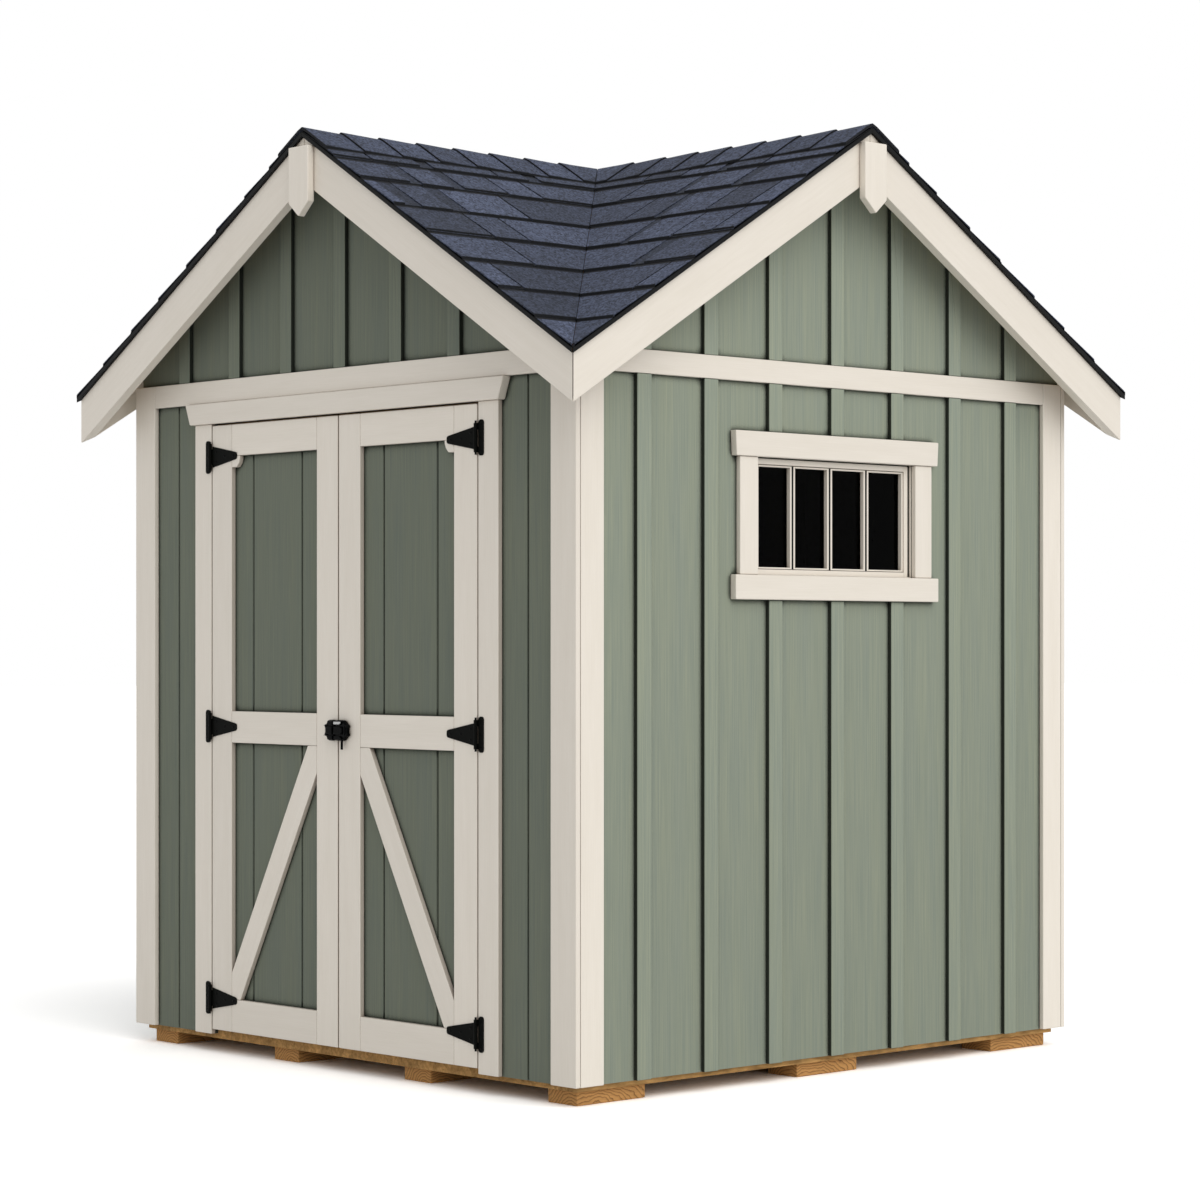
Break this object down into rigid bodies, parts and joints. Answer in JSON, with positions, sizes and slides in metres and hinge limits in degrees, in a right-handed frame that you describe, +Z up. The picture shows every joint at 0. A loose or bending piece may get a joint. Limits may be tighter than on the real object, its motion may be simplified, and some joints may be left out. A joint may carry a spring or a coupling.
{
  "type": "garden shed",
  "caption": "Square board-and-batten garden shed with a cross-gable shingle roof, double ledged and braced doors on strap hinges and a side window.",
  "frame": {"origin": "centre of the plan at ground level, under the floor", "axes": "+Z up, the double doors face -Y, the window faces +X"},
  "size_m": [2.786, 2.786, 3.2505],
  "materials": {
    "siding_paint": "satin sage green paint on timber",
    "trim_paint": "satin cream paint on timber",
    "bare_timber": "bare sawn softwood",
    "asphalt_shingle": "asphalt shingle with slate blue mineral granules",
    "edge_metal": "dark grey coated steel",
    "black_iron": "black powder coat",
    "window_glass": "clear float glass"
  },
  "bodies": {
    "shed": {"back_barge_boards": "trim_paint", "back_roof_deck": "bare_timber", "back_wall": "siding_paint", "back_wall_battens": "siding_paint", "corner_boards_front_back": "trim_paint", "corner_boards_sides": "trim_paint", "door_casings": "trim_paint", "door_head": "trim_paint", "door_stops": "bare_timber", "drip_edges": "edge_metal", "floor_deck": "bare_timber", "frieze_boards": "trim_paint", "front_barge_boards": "trim_paint", "front_roof_deck": "bare_timber", "front_wall_over_door": "siding_paint", "front_wall_sides": "siding_paint", "gable_battens": "siding_paint", "gable_pendants": "trim_paint", "gable_posts": "bare_timber", "ground_pads": "bare_timber", "hinge_plates": "black_iron", "jack_rafters": "bare_timber", "left_barge_boards": "trim_paint", "left_roof_deck": "bare_timber", "left_wall": "siding_paint", "left_wall_battens": "siding_paint", "lintels": "bare_timber", "ridge_beams": "bare_timber", "ridge_caps": "asphalt_shingle", "right_barge_boards": "trim_paint", "right_roof_deck": "bare_timber", "right_wall_battens": "siding_paint", "right_wall_over_window": "siding_paint", "right_wall_sides": "siding_paint", "right_wall_under_window": "siding_paint", "shingles": "asphalt_shingle", "sole_plates": "bare_timber", "top_plates": "bare_timber", "valley_rafters": "bare_timber", "wall_studs": "bare_timber", "window_glass": "window_glass", "window_head": "trim_paint", "window_jambs": "trim_paint", "window_sash": "trim_paint", "window_sill": "trim_paint"},
    "left_door": {"latch_keeper": "black_iron", "left_door_frame": "trim_paint", "left_door_panel": "siding_paint", "left_hinge_straps": "black_iron"},
    "right_door": {"latch_case": "black_iron", "right_door_frame": "trim_paint", "right_door_panel": "siding_paint", "right_hinge_straps": "black_iron"}
  },
  "joints": [
    {"name": "left_door_swing", "type": "hinge", "parent": "shed", "child": "left_door", "pos_m": [-0.739, -1.227, 1.18], "axis": [0, 0, -1], "range_deg": [0, 160]},
    {"name": "right_door_swing", "type": "hinge", "parent": "shed", "child": "right_door", "pos_m": [0.739, -1.227, 1.18], "axis": [0, 0, 1], "range_deg": [0, 160]}
  ]
}
